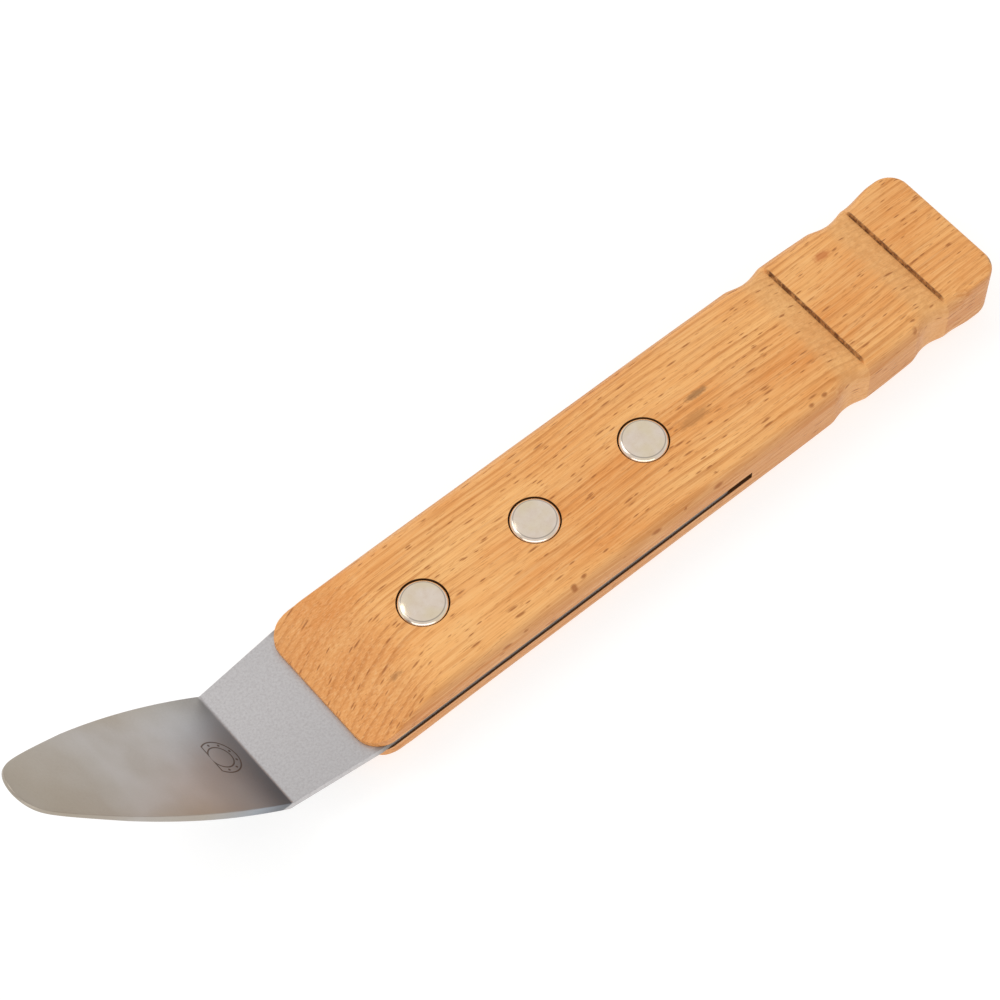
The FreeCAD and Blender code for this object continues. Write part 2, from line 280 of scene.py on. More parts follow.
def sideCut(x):
    # wood missing from each side at x: the scoops ahead of the steps and the slimmer block
    cut = handle["buttInset"] * ease(x, steps[0], steps[1] + 4)
    for step in steps:
        away = min(abs(x - step + handle["sideScoopLead"]) / handle["sideScoopHalf"], 1)
        cut += handle["sideScoopDepth"] * (1 - away ** 2) ** 1.4
    return cut


def planReach(x, inset):
    # half width at x of the plan outline drawn in by inset
    for end, corner, way in (
        (handleLow.x, handle["noseCorner"], -1),
        (handleHigh.x, handle["buttCorner"], 1),
    ):
        past = (x - end) * way + corner
        if past > 0:
            room = corner - inset
            return halfWidth - corner + math.sqrt(max(room * room - past * past, 0))
    return halfWidth - inset


def sectionPoint(x, turn, up):
    # a quarter of the section: turn runs over the flat, round the edge and down the side
    flat, arc, side = (handle[name] for name in ("flatSegments", "arcSegments", "sideSegments"))
    block = handle["buttEdgeRadius"][up]
    radius = handle["edgeRadius"] + (block - handle["edgeRadius"]) * ease(x, steps[1] + 1, steps[1] + 7)
    if turn > flat + arc:
        return planReach(x, 0), (halfThick - radius) * (1 - (turn - flat - arc) / side)
    angle = math.pi / 2 * (1 - max(0, turn - flat) / arc)
    inset = radius * (1 - math.cos(angle))
    height = halfThick - radius + radius * math.sin(angle)
    if handleHigh.x - x < inset:
        inset = handleHigh.x - x
        height = halfThick - radius + math.sqrt(max(radius ** 2 - (radius - inset) ** 2, 0))
    return planReach(x, inset) * min(turn / flat, 1), height


def makeHandle(material):
    quarter = handle["flatSegments"] + handle["arcSegments"] + handle["sideSegments"]
    ring = [(turn, 1, 1) for turn in range(quarter)]  # turn, side, up
    ring += [(turn, 1, -1) for turn in range(quarter, 0, -1)]
    ring += [(turn, -1, -1) for turn in range(quarter)]
    ring += [(turn, -1, 1) for turn in range(quarter, 0, -1)]
    stations = spread(handleLow.x, handleLow.x + 1.2, 0.15)
    stations += spread(handleLow.x + 1.2, steps[0] - 8, 0.55)
    face = handle["stepFace"]
    stations += spread(steps[0] - 8, steps[0] - face, 0.35) + [steps[0] - face, steps[0] + face]
    stations += spread(steps[0] + 0.4, steps[1] - face, 0.35) + [steps[1] - face, steps[1] + face]
    roundLength, count = handle["roundLength"], handle["roundSegments"]
    stations += spread(steps[1] + 0.4, handleHigh.x - roundLength, 0.45)
    turns = [math.pi / 2 * i / count for i in range(count + 1)]
    stations += [handleHigh.x - roundLength * math.cos(turn) for turn in turns]
    bm = bmesh.new()
    bmesh.ops.create_grid(bm, x_segments=len(stations) - 1, y_segments=len(ring), size=0.5)
    for vert in bm.verts:
        x = stations[round((vert.co.x + 0.5) * (len(stations) - 1))]
        turn, side, up = ring[round((vert.co.y + 0.5) * len(ring)) % len(ring)]
        reach, height = sectionPoint(x, turn, up)
        height = softLimit(height, cutHeight(x), handle["cutEase"])
        reach = min(reach, halfWidth) - sideCut(x) * reach / halfWidth
        wander = Vector((x * 0.05, reach * side * 0.07, height * up * 0.1))
        stray = handle["handFinish"] * noise.noise(wander)
        vert.co = (x, side * (reach + stray), handleMiddle + up * (height + stray))
    bmesh.ops.remove_doubles(bm, verts=bm.verts[:], dist=0.004)
    bmesh.ops.holes_fill(bm, edges=[edge for edge in bm.edges if edge.is_boundary], sides=0)
    bmesh.ops.dissolve_degenerate(bm, edges=bm.edges[:], dist=0.003)
    body = finishPiece(bm, "beechHandle", material, "handle", handle["sharpAngle"])
    cutHandle(body)


def cutHandle(body):
    # saw kerf for the tang, then the counterbores and bores of the rivets
    cutters = []
    start, end = handleLow.x - 5, bladeHigh.x + handle["kerfEnd"]
    kerf = bmesh.new()
    bmesh.ops.create_cube(kerf, size=1)
    bmesh.ops.scale(kerf, vec=(end - start, halfWidth * 2 + 10, handle["kerfHeight"]), verts=kerf.verts)
    bmesh.ops.translate(kerf, vec=((start + end) / 2, 0, handleMiddle), verts=kerf.verts)
    cutters.append(kerf)
    wide, narrow = handle["counterboreRadius"], handle["boreRadius"]
    depth = handle["counterboreDepth"]
    for x in rivetX.values():
        for radius, low, high in (
            (wide, handleHigh.z - depth, handleHigh.z + 2),
            (wide, handleLow.z - 2, handleLow.z + depth),
            (narrow, handleLow.z + depth - 0.5, handleHigh.z - depth + 0.5),
        ):
            drill = bmesh.new()
            bmesh.ops.create_cone(
                drill, cap_ends=True, segments=handle["drillSegments"],
                radius1=radius, radius2=radius, depth=high - low,
            )
            bmesh.ops.translate(drill, vec=(x, 0, (low + high) / 2), verts=drill.verts)
            cutters.append(drill)
    for number, cutter in enumerate(cutters):
        bmesh.ops.scale(cutter, vec=(mm, mm, mm), verts=cutter.verts)
        mesh = bpy.data.meshes.new(f"cutter{number}")
        cutter.to_mesh(mesh)
        cutter.free()
        tool = bpy.data.objects.new(f"cutter{number}", mesh)
        scene.collection.objects.link(tool)
        cut = body.modifiers.new(f"cut{number}", "BOOLEAN")
        cut.operation = "DIFFERENCE"
        cut.solver = "EXACT"
        cut.object = tool
    depsgraph = bpy.context.evaluated_depsgraph_get()
    result = bpy.data.meshes.new_from_object(body.evaluated_get(depsgraph))
    body.modifiers.clear()
    body.data = result
    for tool in [obj for obj in scene.objects if obj.name.startswith("cutter")]:
        bpy.data.objects.remove(tool)
    result.set_sharp_from_angle(angle=math.radians(handle["sharpAngle"]))


# Beech, sawn, sanded and lightly oiled: warm honey ground, yearly rings as thin darker lines, short
# brown ray flecks along them, and darker brown on the saw kerf and drill walls: painted shade in these
# recesses, with some rubbing.
beech = {
    "light": "#FFC077",
    "dark": "#EC9B50",
    "ringSpacing": 1.1,
    "ringTilt": math.radians(47),  # rings stand at this angle to the top face
    "drift": (55, 20, 20),  # sizes along the grain, across the rings and along them
    "driftReach": (0, 3.2, 3.2),
    "tone": (50, 9, 9),
    "cloud": (8, 5, 5),
    "ringStray": (45, 3, 3),
    "ringPatch": (30, 7, 7),
    "fibre": (11, 0.24, 0.24),
    "pore": (2.6, 0.22, 0.22),
    "flecks": (  # cell size, share of cells left plain, seed
        ((4.8, 0.55, 6.0), 0.79, 0.0),
        ((2.8, 0.4, 4.0), 0.74, 31.7),
    ),
    "tints": {
        # the side tint is partly painted shade: sideways faces are darkened for the dimmer light on them
        "cloud": "#FBC987", "side": "#C48754", "taper": "#D98E4A", "ring": "#C27530",
        "fibre": "#C47A34", "shine": "#FDCB8C", "pore": "#B0682A", "scuff": "#F6BE7C",
        "scuffDark": "#CE8C4A", "fleck": "#A66028", "stepFaceShadeAndEndGrain": "#63381A", "shadedAndRubbedRecess": "#5F3C1F",
    },
    "amounts": {
        "cloud": 0.3, "side": 0.75, "taper": 0.45, "ring": 0.6,
        "fibre": 0.36, "shine": 0.4, "pore": 0.5, "scuff": 0.4,
        "scuffDark": 0.35, "fleck": 0.8, "stepFaceShadeAndEndGrain": 0.95, "shadedAndRubbedRecess": 1.0,
    },
    "marks": (  # place, half size, colour, amount
        ((-33.5, -7.3, 12.8), (1.6, 0.7, 3), "#8E5A2C", 0.55),
        ((41.9, 1.1, 12.8), (2.6, 0.8, 3), "#7A5A3A", 0.6),
        ((38.5, -2.4, 12.8), (4.0, 1.2, 3), "#A06C3A", 0.45),
        ((102.2, -12.1, 11.9), (0.9, 1.2, 1.3), "#5E5347", 0.85),
        ((79.0, 8.4, 12.6), (1.9, 1.0, 3), "#C0632A", 0.6),
    ),
}


def beechMaterial():
    material, tree, shader, real = startMaterial("oiledBeech")
    log = addNode(tree, "Mapping", {"Vector": real, "Rotation": (beech["ringTilt"], 0, 0)})

    def grainNoise(vector, name, detail):
        scale = [1 / size for size in beech[name]]
        stretched = addNode(tree, "Mapping", {"Vector": vector, "Scale": scale})
        return addNode(tree, "TexNoise", {
            "Vector": stretched, "Scale": 1, "Detail": detail, "Roughness": 0.6,
        })

    # slow drift, so that no line is ruled straight
    drift = grainNoise(log, "drift", 1).outputs["Color"]
    drift = addNode(tree, "VectorMath", [drift, (0.5, 0.5, 0.5)], operation="SUBTRACT")
    grain = addNode(tree, "VectorMath", [drift, beech["driftReach"], log], operation="MULTIPLY_ADD")
    tone = grainNoise(grain, "tone", 3)
    cloud = grainNoise(grain, "cloud", 3)
    fibre = grainNoise(grain, "fibre", 3)
    pore = grainNoise(grain, "pore", 2)

    # each yearly ring darkens slowly and ends sharply
    across = addNode(tree, "SeparateXYZ", [grain]).outputs["Y"]
    years = addNode(tree, "Math", [across, beech["ringSpacing"]], operation="DIVIDE")
    years = addNode(tree, "Math", [grainNoise(grain, "ringStray", 2), 1.0, years], operation="MULTIPLY_ADD")
    season = addNode(tree, "Math", [years], operation="FRACT")
    late = addNode(tree, "MapRange", [season, 0.45, 0.88], interpolation_type="SMOOTHSTEP")
    early = addNode(tree, "MapRange", [season, 1.0, 0.93], interpolation_type="SMOOTHSTEP")
    patch = addNode(tree, "MapRange", [grainNoise(grain, "ringPatch", 2), 0.32, 0.62])
    ring = addNode(tree, "Math", [late, early], operation="MULTIPLY")
    ring = addNode(tree, "Math", [ring, patch], operation="MULTIPLY")

    fleck = 0.0
    for size, plain, seed in beech["flecks"]:
        spots = addNode(tree, "Mapping", {
            "Vector": grain, "Location": (seed, seed, seed), "Scale": [1 / side for side in size],
        })
        cells = addNode(tree, "TexVoronoi", {"Vector": spots, "Scale": 1})
        lot = addNode(tree, "SeparateColor", [cells.outputs["Color"]])
        chosen = addNode(tree, "MapRange", [lot, plain, plain + 0.02])
        core = addNode(tree, "MapRange", [cells.outputs["Distance"], 0.3, 0.14])
        short = addNode(tree, "Math", [chosen, core], operation="MULTIPLY")
        fleck = addNode(tree, "Math", [short, fleck], operation="MAXIMUM")

    # sides are cut across the rings and look duller and pinker; the darker tint on sideways faces is also
    # painted shade for the dimmer light the sides get
    facing = addNode(tree, "SeparateXYZ", [addNode(tree, "NewGeometry").outputs["Normal"]])
    sideways = addNode(tree, "Math", [facing.outputs["Y"]], operation="ABSOLUTE")
    side = addNode(tree, "MapRange", [sideways, 0.45, 0.98], interpolation_type="SMOOTHSTEP")

    # the tapered nose cuts through many rings and drinks more oil
    spot = addNode(tree, "SeparateXYZ", [real])
    taper = addNode(tree, "MapRange", [spot, handleLow.x + 17, handleLow.x + 11])

    # scuffed floors of the thumb steps and side scoops, where the sander ran across the grain
    scuff, stepFaceShadeAndEndGrain = 0.0, 0.0
    grit = addNode(tree, "TexNoise", {"Vector": real, "Scale": 0.9, "Detail": 4, "Roughness": 0.7})
    torn = addNode(tree, "MapRange", [grit, 0.35, 0.6, 0.45, 1.0])
    inner = addNode(tree, "Math", [spot.outputs["Y"]], operation="ABSOLUTE")
    inner = addNode(tree, "MapRange", [inner, halfWidth - 2.0, halfWidth - 3.2])
    for step in steps:
        ahead = addNode(tree, "Math", [step, spot], operation="SUBTRACT")
        floor = addNode(tree, "MapRange", [ahead, handle["scoopLength"] + 0.4, handle["scoopLength"] - 1.6])
        before = addNode(tree, "MapRange", [ahead, -0.1, 0.1])
        floor = addNode(tree, "Math", [floor, before], operation="MULTIPLY")
        scuff = addNode(tree, "Math", [scuff, floor], operation="MAXIMUM")
        # the step walls are painted dark brown, broken by grit: torn end grain, with painted shade in the
        # step's corner
        gap = addNode(tree, "Math", [ahead], operation="ABSOLUTE")
        close = addNode(tree, "MapRange", [gap, 0.34, 0.14])
        stepFaceShadeAndEndGrain = addNode(tree, "Math", [stepFaceShadeAndEndGrain, close], operation="MAXIMUM")
    stepFaceShadeAndEndGrain = addNode(tree, "Math", [stepFaceShadeAndEndGrain, torn], operation="MULTIPLY")
    stepFaceShadeAndEndGrain = addNode(tree, "Math", [stepFaceShadeAndEndGrain, inner], operation="MULTIPLY")
    grit = addNode(tree, "MapRange", [grit, 0.42, 0.62])
    scuffDark = addNode(tree, "Math", [scuff, grit], operation="MULTIPLY")

    # saw kerf and counterbore walls are painted dark brown: painted shade inside these recesses, with some
    # rubbing
    height = addNode(tree, "Math", [spot.outputs["Z"], handleMiddle], operation="SUBTRACT")
    height = addNode(tree, "Math", [height], operation="ABSOLUTE")
    kerfHalf = handle["kerfHeight"] / 2
    sawn = addNode(tree, "MapRange", [height, kerfHalf + 0.06, kerfHalf + 0.01])
    kerfEnd = bladeHigh.x + handle["kerfEnd"]
    ahead = addNode(tree, "MapRange", [spot, kerfEnd + 0.1, kerfEnd])
    shadedAndRubbedRecess = addNode(tree, "Math", [sawn, ahead], operation="MULTIPLY")
    flatPlace = addNode(tree, "VectorMath", [real, (1, 1, 0)], operation="MULTIPLY")
    for x in rivetX.values():
        away = addNode(tree, "VectorMath", [flatPlace, (x, 0, 0)], operation="DISTANCE").outputs["Value"]
        edge = handle["counterboreRadius"]
        drilled = addNode(tree, "MapRange", [away, edge + 0.05, edge])
        shadedAndRubbedRecess = addNode(tree, "Math", [shadedAndRubbedRecess, drilled], operation="MAXIMUM")

    masks = {
        "cloud": addNode(tree, "MapRange", [cloud, 0.45, 0.75]),
        "side": side,
        "taper": taper,
        "ring": ring,
        "fibre": addNode(tree, "MapRange", [fibre, 0.5, 0.7]),
        "shine": addNode(tree, "MapRange", [fibre, 0.5, 0.3]),
        "pore": addNode(tree, "MapRange", [pore, 0.58, 0.7]),
        "scuff": scuff,
        "scuffDark": scuffDark,
        "fleck": fleck,
        "stepFaceShadeAndEndGrain": stepFaceShadeAndEndGrain,
        "shadedAndRubbedRecess": shadedAndRubbedRecess,
    }
    layers = [(mask, beech["amounts"][name], beech["tints"][name]) for name, mask in masks.items()]
    for place, size, tint, amount in beech["marks"]:
        where = {"Vector": real, "Location": place, "Scale": size}
        blot = addNode(tree, "Mapping", where, vector_type="TEXTURE")
        reach = addNode(tree, "VectorMath", [blot], operation="LENGTH").outputs["Value"]
        uneven = addNode(tree, "Math", [grit, -0.35, reach], operation="MULTIPLY_ADD")
        layers.append((addNode(tree, "MapRange", [uneven, 0.95, 0.35]), amount, tint))
    deep = addNode(tree, "MapRange", [tone, 0.32, 0.68])
    ground = addNode(tree, "MixRGB", [deep, beech["light"], beech["dark"]])
    tree.links.new(layerColours(tree, ground, layers).outputs[0], shader.inputs["Base Color"])

    rough = addNode(tree, "MapRange", [fibre, 0.3, 0.7, 0.44, 0.6])
    tree.links.new(rough.outputs[0], shader.inputs["Roughness"])
    shader.inputs["Specular IOR Level"].default_value = 0.35
    relief = addNode(tree, "Math", [fleck, -0.9, fibre], operation="MULTIPLY_ADD")
    relief = addNode(tree, "Math", [ring, -0.35, relief], operation="MULTIPLY_ADD")
    relief = addNode(tree, "Math", [scuffDark, -0.8, relief], operation="MULTIPLY_ADD")
    bump = addNode(tree, "Bump", {"Height": relief, "Strength": 0.55, "Distance": 0.00007})
    tree.links.new(bump.outputs[0], shader.inputs["Normal"])
    return material


makeHandle(beechMaterial())
print("handle made")


blade = {
    "thickness": 1.5,
    "neckLength": 15.3,
    "creaseWidth": 25.9,
    "creaseRadius": 0.5,
    "bend": math.radians(45),
    "length": 58.8,
    "sideRadius": 205.0,
    "tipRadius": 6.2,
    "shoulder": 2.2,  # the neck reaches its full width this far inside the nose
    "tangWidth": 29.5,
    "tangCorner": 2.0,
    "edgeEase": 0.18,
    "thinFrom": 14.0,  # ground thinner from here to the tip
    "tipThickness": 0.7,
    "tipEased": 18.0,  # the tip runs into the sides without a corner over this length
    "tipPasses": 50,
    "sideSteps": 28,
    "tipSteps": 24,
    "bendSteps": 8,
    "cutStep": 2.5,  # the blade is divided this finely, so it can thin smoothly
    "cutSpan": 56,
}
creaseX = handleLow.x - blade["neckLength"]
neckTop = handleMiddle + blade["thickness"] / 2


def arcPoints(heart, radius, startAngle, endAngle, count):
    turns = [startAngle + (endAngle - startAngle) * i / count for i in range(count + 1)]
    return [heart + Vector((radius * math.cos(turn), radius * math.sin(turn), 0)) for turn in turns]


def bladeOutline():
    # upper half of the flat blank from the tip to the end of the tang, and where its bend lies
    setback = blade["creaseRadius"] * math.tan(blade["bend"] / 2)
    bendEnd = creaseX + setback
    bendRun = blade["creaseRadius"] * blade["bend"]
    root = Vector((bendEnd - bendRun, blade["creaseWidth"] / 2, 0))
    side, tip = blade["sideRadius"], blade["tipRadius"]
    tipHeart = Vector((root.x - blade["length"] + setback + tip, 0, 0))
    span = tipHeart - root
    along = (side ** 2 - (side - tip) ** 2 + span.length ** 2) / (2 * span.length)
    unit = span.normalized()
    sideHeart = root + unit * along + Vector((-unit.y, unit.x, 0)) * math.sqrt(side ** 2 - along ** 2)
    meeting = math.atan2(tipHeart.y - sideHeart.y, tipHeart.x - sideHeart.x)
    rootAngle = math.atan2(root.y - sideHeart.y, root.x - sideHeart.x)
    points = arcPoints(tipHeart, tip, math.pi, meeting, blade["tipSteps"])
    points += arcPoints(sideHeart, side, meeting, rootAngle, blade["sideSteps"])[1:]
    tangHalf = blade["tangWidth"] / 2
    points += [Vector((bendEnd, root.y, 0)), Vector((handleLow.x + blade["shoulder"], tangHalf, 0))]
    corner = Vector((bladeHigh.x - blade["tangCorner"], tangHalf - blade["tangCorner"], 0))
    points += arcPoints(corner, blade["tangCorner"], math.pi / 2, 0, 8)
    return points, bendEnd, bendRun


def makeBlade(material):
    upper, bendEnd, bendRun = bladeOutline()
    bm = bmesh.new()
    outline = upper + [Vector((p.x, -p.y, 0)) for p in reversed(upper[1:])]
    face = bm.faces.new([bm.verts.new(p) for p in outline])
    tipVerts = [vert for vert in face.verts if vert.co.x < outline[0].x + blade["tipEased"]]
    for i in range(blade["tipPasses"]):
        bmesh.ops.smooth_vert(
            bm, verts=tipVerts, factor=0.5, use_axis_x=True, use_axis_y=True, use_axis_z=True
        )
    solid = bmesh.ops.extrude_face_region(bm, geom=[face])
    lower = [item for item in solid["geom"] if isinstance(item, bmesh.types.BMVert)]
    bmesh.ops.translate(bm, vec=(0, 0, -blade["thickness"]), verts=lower)
    bmesh.ops.recalc_face_normals(bm, faces=bm.faces[:])
    rims = [edge for edge in bm.edges if abs(edge.verts[0].co.z - edge.verts[1].co.z) < 1e-6]
    bmesh.ops.bevel(
        bm, geom=rims, offset=blade["edgeEase"], segments=3, profile=0.5, affect="EDGES", material=-1
    )
    cuts = [bendEnd - bendRun * i / blade["bendSteps"] for i in range(blade["bendSteps"] + 1)]
    flatStart = bendEnd - bendRun
    cuts += spread(flatStart - 1, flatStart - blade["cutSpan"], blade["cutStep"])
    for place in cuts:
        geometry = bm.verts[:] + bm.edges[:] + bm.faces[:]
        bmesh.ops.bisect_plane(bm, geom=geometry, plane_co=(place, 0, 0), plane_no=(1, 0, 0), dist=1e-5)
    radius = blade["creaseRadius"]
    thin = 1 - blade["tipThickness"] / blade["thickness"]
    for vert in bm.verts:
        run = bendEnd - vert.co.x
        if run <= 0:
            vert.co.z += neckTop
            continue
        depth = vert.co.z * (1 - thin * ease(run, blade["thinFrom"], blade["length"]))
        turned = min(run / radius, blade["bend"])
        rest = run - turned * radius
        reach = radius - depth  # from the hinge line above the plate
        vert.co.x = bendEnd - reach * math.sin(turned) - rest * math.cos(turned)
        vert.co.z = neckTop + radius - reach * math.cos(turned) + rest * math.sin(turned)
    finishPiece(bm, "steelBlade", material, "blade", 30)


# Stainless plate, tumbled: pale, matt and finely mottled on the neck, a smoother satin on the blade, set
# darker as painted shade, with a tan tarnish towards its tip and edges, and painted darkening beside the
# bend, bluish then dark: a painted reflection of the darker surroundings.
steel = {
    "neck": "#CCC9C9",
    "neckSpot": "#BFBBBB",
    # the blade's base colour is set darker than the neck's: painted shade for the darker surroundings the
    # bent blade reflects
    "blade": "#BAB6B4",
    "bladeCloud": "#AFA8A2",
    "tarnish": "#A3957F",
    "bluishReflection": "#96A3B2",
    "bendDarkReflection": "#5C5C60",
    "shadedTangEdge": "#8A817A",
    "tipTarnish": (16, 40),  # height above the neck where the tip's tarnish starts and is full
    "rimTarnish": (7, 13),  # the same for the sides, out from the middle
    "bluishReflectionHeight": (17, 4),
    "darkReflectionHeight": (7.5, 0.2),
    "bendReflectionSide": (8, -10),  # the painted dark reflection beside the bend is fainter at the first of these places across
    "shadedTangEdgeFrom": (13.6, 13.9),
    "mottle": 0.45,  # size of a tumbling mark
    "cloud": 11,
    "markRadius": 2.9,  # small plain horseshoe etched near the bend, its heels towards the tip
    "markWeb": 0.62,  # half width of the horseshoe's iron
    "markLine": 0.13,  # half width of the etched line round it
    "markHeel": 2.1,  # where the heels end, beyond the middle
    "markStretch": 0.84,  # below 1 makes it longer than wide
    "markBlur": 0.05,
    "nailPitch": math.radians(40),
    "nailRadius": 0.24,
    "markPlace": (7.6, -0.8),  # up from the bend, and across
    "markColour": "#54463B",
}


def steelMaterial():
    material, tree, shader, real = startMaterial("tumbledStainlessSteel")
    spot = addNode(tree, "SeparateXYZ", [real])
    across = addNode(tree, "Math", [spot.outputs["Y"]], operation="ABSOLUTE")
    rise = addNode(tree, "Math", [spot.outputs["Z"], neckTop], operation="SUBTRACT")
    onBlade = addNode(tree, "MapRange", [rise, 0.1, 0.5])
    fine = addNode(tree, "TexNoise", {
        "Vector": real, "Scale": 1 / steel["mottle"], "Detail": 3, "Roughness": 0.7,
    })
    cloud = addNode(tree, "TexNoise", {"Vector": real, "Scale": 1 / steel["cloud"], "Detail": 2})
    speckle = addNode(tree, "MapRange", [fine, 0.4, 0.66])
    clouded = addNode(tree, "MapRange", [cloud, 0.35, 0.65])
    tip = addNode(tree, "MapRange", [rise, *steel["tipTarnish"]], interpolation_type="SMOOTHSTEP")
    rim = addNode(tree, "MapRange", [across, *steel["rimTarnish"]])
    tan = addNode(tree, "Math", [tip, rim], operation="MAXIMUM")
    side = addNode(tree, "MapRange", [spot.outputs["Y"], *steel["bendReflectionSide"], 0.35, 1.0])
    # painted reflection: bluish grey, then dark, growing towards the bend, for the darker surroundings the
    # bent blade reflects
    bluishReflection = [rise, *steel["bluishReflectionHeight"]]
    bluishReflection = addNode(tree, "MapRange", bluishReflection, interpolation_type="SMOOTHSTEP")
    bluishReflection = addNode(tree, "Math", [bluishReflection, side], operation="MULTIPLY")
    darkReflection = addNode(tree, "MapRange", [rise, *steel["darkReflectionHeight"]], interpolation_type="SMOOTHSTEP")
    darkReflection = addNode(tree, "Math", [darkReflection, side], operation="MULTIPLY")

    # horseshoe in the plane of the blade: the outline of an open ring, with nail holes along it
    up, aside = steel["markPlace"]
    stretch = steel["markStretch"]
    along = [rise, stretch / math.sin(blade["bend"]), -up * stretch]
    along = addNode(tree, "Math", along, operation="MULTIPLY_ADD")
    sideways = addNode(tree, "Math", [spot.outputs["Y"], aside], operation="SUBTRACT")
    flat = addNode(tree, "CombineXYZ", [along, sideways, 0.0])
    radius = addNode(tree, "VectorMath", [flat], operation="LENGTH").outputs["Value"]
    off = addNode(tree, "Math", [radius, steel["markRadius"]], operation="SUBTRACT")
    off = addNode(tree, "Math", [off], operation="ABSOLUTE")
    turn = addNode(tree, "Math", [sideways, along], operation="ARCTAN2")
    turn = addNode(tree, "Math", [turn, steel["nailPitch"] / 2], operation="PINGPONG")
    turn = addNode(tree, "Math", [turn, steel["markRadius"]], operation="MULTIPLY")
    nail = addNode(tree, "CombineXYZ", [off, turn, 0.0])
    nail = addNode(tree, "VectorMath", [nail], operation="LENGTH").outputs["Value"]
    nailRadius, blur = steel["nailRadius"], steel["markBlur"]
    nail = addNode(tree, "MapRange", [nail, nailRadius + blur, nailRadius - blur])
    off = addNode(tree, "Math", [off, steel["markWeb"]], operation="SUBTRACT")
    heel = addNode(tree, "Math", [along, steel["markHeel"]], operation="SUBTRACT")
    off = addNode(tree, "Math", [off, heel], operation="MAXIMUM")
    off = addNode(tree, "Math", [off], operation="ABSOLUTE")
    line = addNode(tree, "MapRange", [off, steel["markLine"] + blur, steel["markLine"] - blur])
    insideHeel = addNode(tree, "MapRange", [heel, -0.5, -0.7])
    nail = addNode(tree, "Math", [nail, insideHeel], operation="MULTIPLY")
    mark = addNode(tree, "Math", [line, nail], operation="MAXIMUM")
    mark = addNode(tree, "Math", [mark, onBlade], operation="MULTIPLY")

    neck = addNode(tree, "MixRGB", [speckle, steel["neck"], steel["neckSpot"]])
    satin = addNode(tree, "MixRGB", [clouded, steel["blade"], steel["bladeCloud"]])
    satin = layerColours(tree, satin, [
        (tan, 0.6, steel["tarnish"]),
        (bluishReflection, 0.7, steel["bluishReflection"]),
        (darkReflection, 0.8, steel["bendDarkReflection"]),
        (mark, 0.85, steel["markColour"]),
    ])
    # the tang edges inside the kerf are painted grey-brown: painted shade in the slot, with some tarnish
    inHandle = addNode(tree, "MapRange", [spot, handleLow.x + 0.5, handleLow.x + 3])
    edge = addNode(tree, "MapRange", [across, *steel["shadedTangEdgeFrom"]])
    edge = addNode(tree, "Math", [inHandle, edge], operation="MULTIPLY")
    colour = addNode(tree, "MixRGB", [onBlade, neck, satin])
    colour = layerColours(tree, colour, [(edge, 1.0, steel["shadedTangEdge"])])
    tree.links.new(colour.outputs[0], shader.inputs["Base Color"])
    shader.inputs["Metallic"].default_value = 1.0
    rough = addNode(tree, "MapRange", [fine, 0.3, 0.7, 0.42, 0.52])
    rough = addNode(tree, "Math", [onBlade, -0.06, rough], operation="MULTIPLY_ADD")
    tree.links.new(rough.outputs[0], shader.inputs["Roughness"])
    relief = addNode(tree, "Math", [mark, -2.0, fine], operation="MULTIPLY_ADD")
    bump = addNode(tree, "Bump", {"Height": relief, "Strength": 0.3, "Distance": 0.00003})
    tree.links.new(bump.outputs[0], shader.inputs["Normal"])
    return material


makeBlade(steelMaterial())
print("blade made")


rivet = {
    "rimWidth": 0.62,
    "rimDrop": 0.62,
    "rimRound": 0.45,  # 0 is a straight chamfer, 1 a full round
    "crown": 0.05,
    "seatDepth": 1.7,
    "postRadius": 1.5,
    "postTaper": 0.4,
    "boreRadius": 1.51,
    "boreFloor": 0.7,  # below the end of the post
    "barrelRadius": 2.5,
    "lean": (-0.1, -0.12),  # heads sit a little off the middle of their holes
    "segments": 96,
    "rimSteps": 8,
}
headRadius = (postHigh.x - postLow.x) / 2


def headProfile(face, seat, way):
    # from the centre of the head, over its rounded rim, down to its seat
    flat = headRadius - rivet["rimWidth"]
    points = [(0, 0, face), (flat * 0.5, 0, face - way * rivet["crown"] * 0.3)]
    points.append((flat, 0, face - way * rivet["crown"]))
    for i in range(1, rivet["rimSteps"] + 1):
        share, angle = i / rivet["rimSteps"], math.pi / 2 * i / rivet["rimSteps"]
        out = share + (math.sin(angle) - share) * rivet["rimRound"]
        fall = share + (1 - math.cos(angle) - share) * rivet["rimRound"]
        drop = rivet["crown"] + rivet["rimDrop"] * fall
        points.append((flat + rivet["rimWidth"] * out, 0, face - way * drop))
    points.append((headRadius, 0, seat))
    return points


def makeRivetHalf(name, x, profile, node, material):
    bm = bmesh.new()
    verts = [bm.verts.new(p) for p in profile]
    edges = [bm.edges.new(pair) for pair in zip(verts, verts[1:])]
    bmesh.ops.spin(
        bm, geom=verts + edges, cent=(0, 0, 0), axis=(0, 0, 1), angle=2 * math.pi,
        steps=rivet["segments"], use_merge=True,
    )
    bmesh.ops.remove_doubles(bm, verts=bm.verts[:], dist=1e-4)
    heads = [vert for vert in bm.verts if vert.co.z > handleHigh.z - rivet["seatDepth"] - 1e-4]
    if node.startswith("rivet_post"):
        bmesh.ops.translate(bm, vec=(*rivet["lean"], 0), verts=heads)
    bmesh.ops.translate(bm, vec=(x, 0, 0), verts=bm.verts[:])
    finishPiece(bm, name, material, node, 30)


# Nickel-plated brass: smooth, bright and slightly warm, with a faint polishing haze and a thin dull
# line painted where the flat of the head turns into its rim: a painted dark reflection of that bend.
nickel = {
    "bright": "#F8E9DA",
    "hazy": "#EFDCC9",
    "yellow": "#F0DFB8",
    "rimDarkReflection": "#A0968E",
    "rimDarkReflectionWidth": 0.1,
}


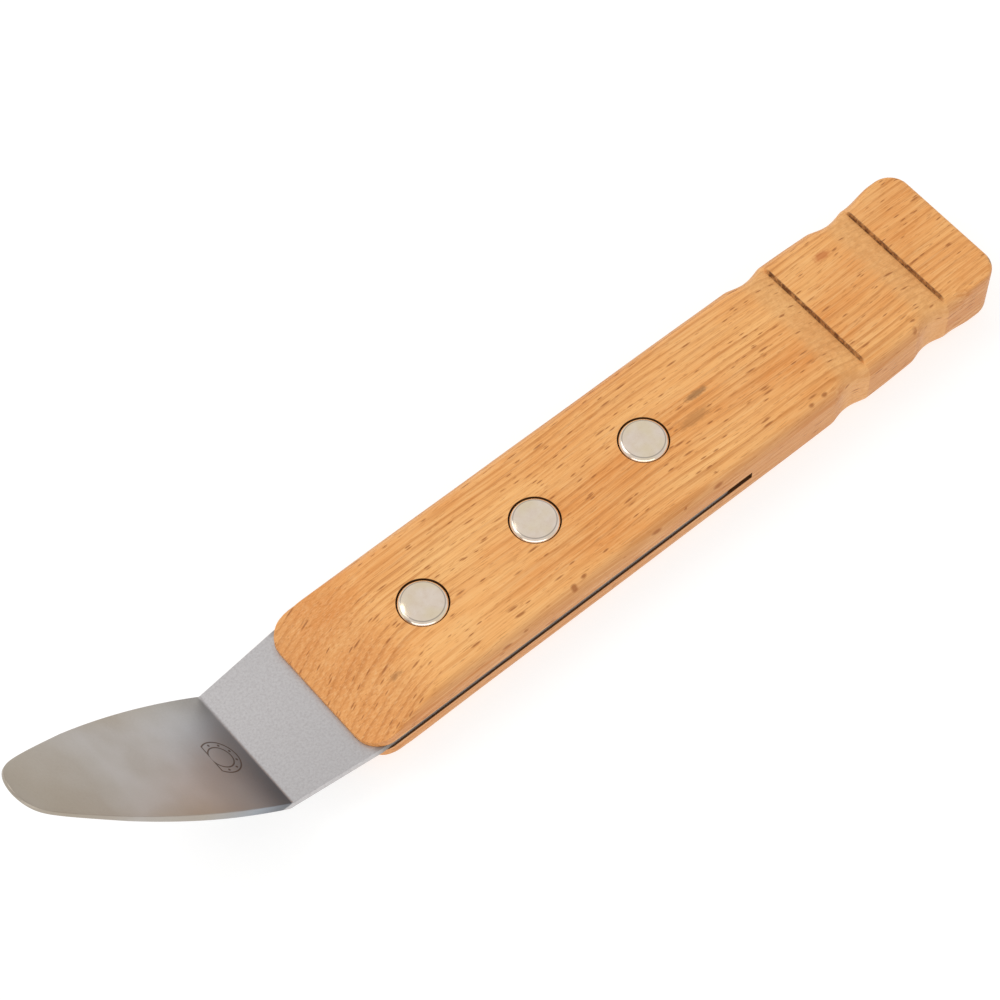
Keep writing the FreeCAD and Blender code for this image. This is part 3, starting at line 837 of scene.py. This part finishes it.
def nickelMaterial():
    material, tree, shader, real = startMaterial("nickelPlatedBrass")
    haze = addNode(tree, "TexNoise", {"Vector": real, "Scale": 0.6, "Detail": 4, "Roughness": 0.6})
    warm = addNode(tree, "TexNoise", {"Vector": real, "Scale": 0.22, "Detail": 1})
    flatPlace = addNode(tree, "VectorMath", [real, (1, 1, 0)], operation="MULTIPLY")
    # painted dark reflection: a thin dull ring where each head's flat turns into its rim
    line = 0.0
    for x in rivetX.values():
        heart = (x + rivet["lean"][0], rivet["lean"][1], 0)
        away = addNode(tree, "VectorMath", [flatPlace, heart], operation="DISTANCE").outputs["Value"]
        off = addNode(tree, "Math", [away, headRadius - rivet["rimWidth"]], operation="SUBTRACT")
        off = addNode(tree, "Math", [off], operation="ABSOLUTE")
        near = addNode(tree, "MapRange", [off, nickel["rimDarkReflectionWidth"] * 1.4, nickel["rimDarkReflectionWidth"] * 0.6])
        line = addNode(tree, "Math", [line, near], operation="MAXIMUM")
    colour = addNode(tree, "MixRGB", [
        addNode(tree, "MapRange", [haze, 0.35, 0.7]), nickel["bright"], nickel["hazy"],
    ])
    colour = layerColours(tree, colour, [
        (addNode(tree, "MapRange", [warm, 0.45, 0.65]), 0.5, nickel["yellow"]),
        (line, 0.7, nickel["rimDarkReflection"]),
    ])
    tree.links.new(colour.outputs[0], shader.inputs["Base Color"])
    shader.inputs["Metallic"].default_value = 1.0
    rough = addNode(tree, "MapRange", [haze, 0.3, 0.7, 0.12, 0.2])
    tree.links.new(rough.outputs[0], shader.inputs["Roughness"])
    return material


def makeRivets(material):
    postRadius, taper, postEnd = rivet["postRadius"], rivet["postTaper"], postLow.z
    bore, barrel, boreFloor = rivet["boreRadius"], rivet["barrelRadius"], postEnd - rivet["boreFloor"]
    for name, x in rivetX.items():
        seat = handleHigh.z - rivet["seatDepth"]
        post = headProfile(postHigh.z, seat, 1)
        post += [(postRadius, 0, seat), (postRadius, 0, postEnd + taper)]
        post += [(postRadius - taper, 0, postEnd), (0, 0, postEnd)]
        makeRivetHalf("rivetPost" + name.title(), x, post, "rivet_post_" + name, material)
        seat = handleLow.z + rivet["seatDepth"]
        tube = headProfile(tubeLow.z, seat, -1)
        tube += [(barrel, 0, seat), (barrel, 0, tubeHigh.z), (bore, 0, tubeHigh.z)]
        tube += [(bore, 0, boreFloor), (0, 0, boreFloor)]
        makeRivetHalf("rivetTube" + name.title(), x, tube, "rivet_tube_" + name, material)


makeRivets(nickelMaterial())
print("rivets made")
